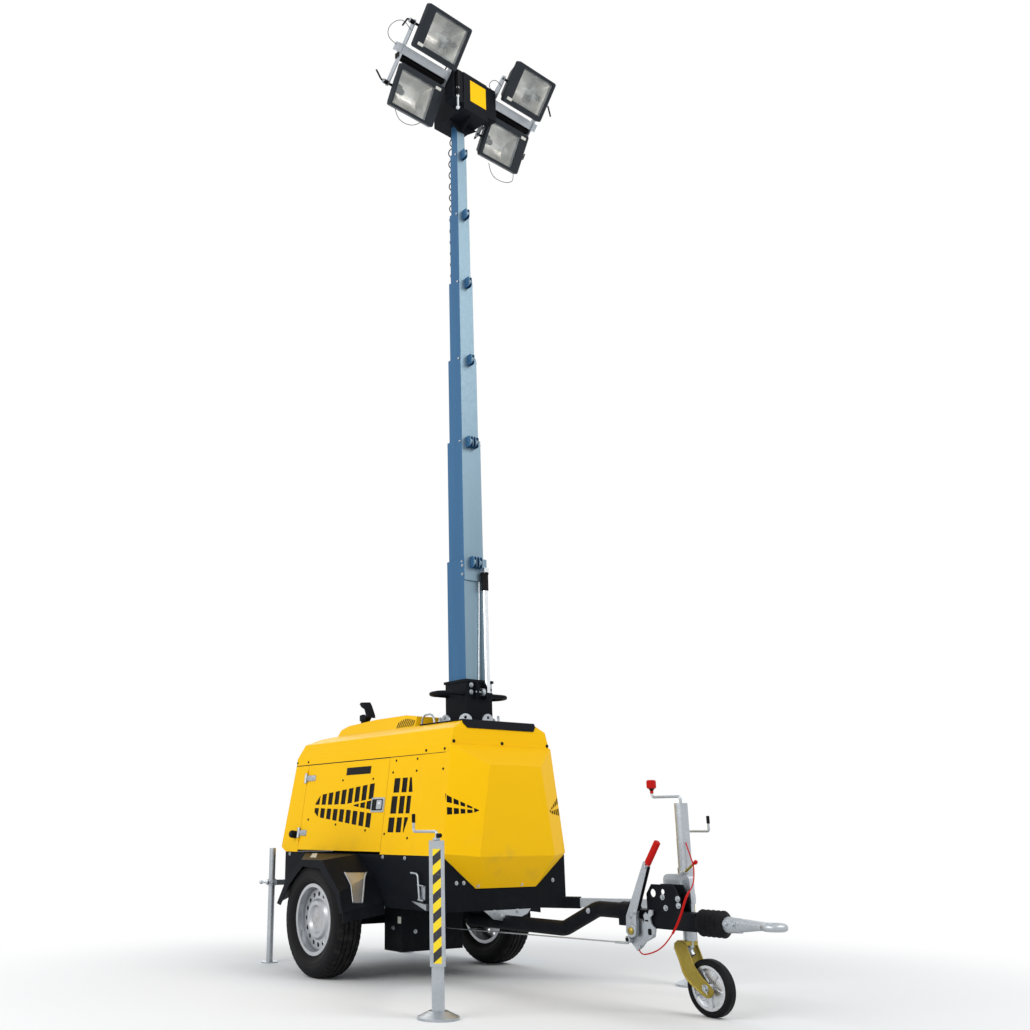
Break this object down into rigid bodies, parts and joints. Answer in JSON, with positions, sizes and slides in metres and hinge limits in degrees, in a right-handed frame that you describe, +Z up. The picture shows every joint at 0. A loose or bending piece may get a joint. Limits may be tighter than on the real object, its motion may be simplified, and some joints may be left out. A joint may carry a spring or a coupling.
{
  "type": "mobile light tower",
  "caption": "Towable light tower: yellow canopy on a single-axle trailer with stabilizer legs and a raised telescopic mast carrying tilting floodlights.",
  "frame": {"origin": "on the ground, midway along and across the whole outline", "axes": "+X forward to the towing eye, +Y to the left, +Z up"},
  "size_m": [3.28, 1.8007, 5.5646],
  "materials": {
    "yellow_paint": "gloss powder coat",
    "black_paint": "satin powder coat",
    "galvanised": "hot-dip galvanised",
    "mast_steel": "galvanised, drawn profile",
    "zinc_yellow": "yellow zinc plate",
    "tyre_rubber": "tyre rubber",
    "rubber": "moulded rubber",
    "wheel_silver": "silver wheel paint",
    "lamp_grey": "textured grey paint",
    "cable_black": "cable sheath",
    "engine_iron": "painted iron",
    "jockey_disc": "cast aluminium",
    "chrome_rod": "chromed rod",
    "lamp_glass": "clear toughened glass",
    "reflector": "pressed reflector sheet",
    "black_plastic": "moulded plastic",
    "red_plastic": "moulded plastic",
    "pale_plastic": "moulded plastic",
    "hazard_tape": "striped reflective tape"
  },
  "bodies": {
    "chassis": {"chassis_frame": "black_paint", "axle": "black_paint", "fenders": "black_paint", "skirt": "black_paint", "fuel_tank": "black_paint", "engine_block": "engine_iron", "mast_support": "black_paint", "canopy_panels": "yellow_paint", "vent_panels": "yellow_paint", "nose": "yellow_paint", "roof": "yellow_paint", "roof_plate": "black_paint", "lug_ring": "galvanised", "exhaust_cap": "black_paint", "drawbar": "black_paint", "overrun_housing": "black_paint", "bellows": "rubber", "tow_eye": "galvanised", "brake_bracket": "galvanised", "jockey_tube": "galvanised", "rear_clamps": "galvanised"},
    "wheel_right": {"tyre_right": "tyre_rubber", "rim_right": "wheel_silver"},
    "wheel_left": {"tyre_left": "tyre_rubber", "rim_left": "wheel_silver"},
    "door_right": {"door_right": "yellow_paint"},
    "door_left": {"door_left": "yellow_paint"},
    "brake_lever": {"brake_lever": "galvanised"},
    "jockey_leg": {"jockey_leg": "galvanised"},
    "jockey_fork": {"jockey_fork": "zinc_yellow"},
    "jockey_wheel": {"jockey_wheel": "jockey_disc", "jockey_tyre": "rubber"},
    "outrigger_right": {"outrigger_right": "galvanised"},
    "leg_right": {"leg_right": "galvanised"},
    "outrigger_left": {"outrigger_left": "galvanised"},
    "leg_left": {"leg_left": "galvanised"},
    "prop_right": {"prop_right": "galvanised"},
    "prop_left": {"prop_left": "galvanised"},
    "turret": {"turret": "black_paint", "mast_section_1": "mast_steel", "mast_cylinder": "chrome_rod", "coiled_cable": "cable_black"},
    "mast_2": {"mast_section_2": "mast_steel"},
    "mast_3": {"mast_section_3": "mast_steel"},
    "mast_4": {"mast_section_4": "mast_steel"},
    "mast_5": {"mast_section_5": "mast_steel"},
    "mast_6": {"mast_section_6": "mast_steel"},
    "mast_head": {"mast_section_7": "mast_steel", "head_box": "black_paint", "lamp_bars": "galvanised"},
    "lamp_upper_right": {"lamp_upper_right": "lamp_grey"},
    "lamp_upper_left": {"lamp_upper_left": "lamp_grey"},
    "lamp_lower_right": {"lamp_lower_right": "lamp_grey"},
    "lamp_lower_left": {"lamp_lower_left": "lamp_grey"}
  },
  "joints": [
    {"name": "wheel_right_spin", "type": "hinge", "parent": "chassis", "child": "wheel_right", "pos_m": [-0.845, -0.576, 0.289], "axis": [0, 1, 0], "continuous": true},
    {"name": "wheel_left_spin", "type": "hinge", "parent": "chassis", "child": "wheel_left", "pos_m": [-0.845, 0.576, 0.289], "axis": [0, 1, 0], "continuous": true},
    {"name": "door_right_hinge", "type": "hinge", "parent": "chassis", "child": "door_right", "pos_m": [-1.4445, -0.37594, 0.87332], "axis": [0, 0.1368, 0.9906], "range_deg": [-110, 0]},
    {"name": "door_left_hinge", "type": "hinge", "parent": "chassis", "child": "door_left", "pos_m": [-1.4445, 0.37594, 0.87332], "axis": [0, -0.1368, 0.9906], "range_deg": [0, 110]},
    {"name": "handbrake", "type": "hinge", "parent": "chassis", "child": "brake_lever", "pos_m": [0.904, -0.063, 0.327], "axis": [0, 1, 0], "range_deg": [-10, 45]},
    {"name": "jockey_height", "type": "slide", "parent": "chassis", "child": "jockey_leg", "axis": [0, 0, 1], "range_m": [-0.1, 0.11]},
    {"name": "jockey_swivel", "type": "hinge", "parent": "jockey_leg", "child": "jockey_fork", "pos_m": [1.058, 0.12, 0.27], "axis": [0, 0, 1], "continuous": true},
    {"name": "jockey_roll", "type": "hinge", "parent": "jockey_fork", "child": "jockey_wheel", "pos_m": [1.15, 0.12, 0.113], "axis": [0, 1, 0], "continuous": true},
    {"name": "outrigger_right_slide", "type": "slide", "parent": "chassis", "child": "outrigger_right", "axis": [0.7934, -0.6088, 0], "range_m": [-0.55, 0]},
    {"name": "outrigger_left_slide", "type": "slide", "parent": "chassis", "child": "outrigger_left", "axis": [0.7934, 0.6088, 0], "range_m": [-0.473, 0.077]},
    {"name": "leg_right_jack", "type": "slide", "parent": "outrigger_right", "child": "leg_right", "axis": [0, 0, 1], "range_m": [-0.1, 0.165]},
    {"name": "leg_left_jack", "type": "slide", "parent": "outrigger_left", "child": "leg_left", "axis": [0, 0, 1], "range_m": [-0.1, 0.165]},
    {"name": "prop_right_slide", "type": "slide", "parent": "chassis", "child": "prop_right", "axis": [0, 0, 1], "range_m": [-0.05, 0.35]},
    {"name": "prop_left_slide", "type": "slide", "parent": "chassis", "child": "prop_left", "axis": [0, 0, 1], "range_m": [-0.05, 0.35]},
    {"name": "mast_turn", "type": "hinge", "parent": "chassis", "child": "turret", "pos_m": [-0.285, 0, 1.3], "axis": [0, 0, 1], "range_deg": [-175, 175]},
    {"name": "mast_raise", "type": "slide", "parent": "turret", "child": "mast_2", "axis": [0, 0, 1], "range_m": [-0.65, 0.525], "deforming": ["coiled_cable"]},
    {"name": "mast_stage_3", "type": "slide", "parent": "mast_2", "child": "mast_3", "axis": [0, 0, 1], "range_m": [-0.4555, 0.368]},
    {"name": "mast_stage_4", "type": "slide", "parent": "mast_3", "child": "mast_4", "axis": [0, 0, 1], "range_m": [-0.4455, 0.35993]},
    {"name": "mast_stage_5", "type": "slide", "parent": "mast_4", "child": "mast_5", "axis": [0, 0, 1], "range_m": [-0.4055, 0.32762]},
    {"name": "mast_stage_6", "type": "slide", "parent": "mast_5", "child": "mast_6", "axis": [0, 0, 1], "range_m": [-0.3655, 0.29531]},
    {"name": "mast_stage_7", "type": "slide", "parent": "mast_6", "child": "mast_head", "axis": [0, 0, 1], "range_m": [-0.1355, 0.10954]},
    {"name": "lamp_upper_right_tilt", "type": "hinge", "parent": "mast_head", "child": "lamp_upper_right", "pos_m": [-0.01291, -0.36355, 5.45777], "axis": [-0.1045, 0.9945, 0], "range_deg": [-50, 20]},
    {"name": "lamp_upper_left_tilt", "type": "hinge", "parent": "mast_head", "child": "lamp_upper_left", "pos_m": [-0.09445, 0.41218, 5.45777], "axis": [-0.1045, 0.9945, 0], "range_deg": [-50, 20]},
    {"name": "lamp_lower_right_tilt", "type": "hinge", "parent": "mast_head", "child": "lamp_lower_right", "pos_m": [-0.25955, -0.38947, 5.17249], "axis": [-0.1045, 0.9945, 0], "range_deg": [-50, 30]},
    {"name": "lamp_lower_left_tilt", "type": "hinge", "parent": "mast_head", "child": "lamp_lower_left", "pos_m": [-0.34108, 0.38625, 5.17249], "axis": [-0.1045, 0.9945, 0], "range_deg": [-50, 30]}
  ],
  "couplings": [
    {"joint": "mast_stage_3", "follows": "mast_raise", "ratio": 0.7},
    {"joint": "mast_stage_4", "follows": "mast_raise", "ratio": 0.68462},
    {"joint": "mast_stage_5", "follows": "mast_raise", "ratio": 0.62308},
    {"joint": "mast_stage_6", "follows": "mast_raise", "ratio": 0.56154},
    {"joint": "mast_stage_7", "follows": "mast_raise", "ratio": 0.20769}
  ]
}
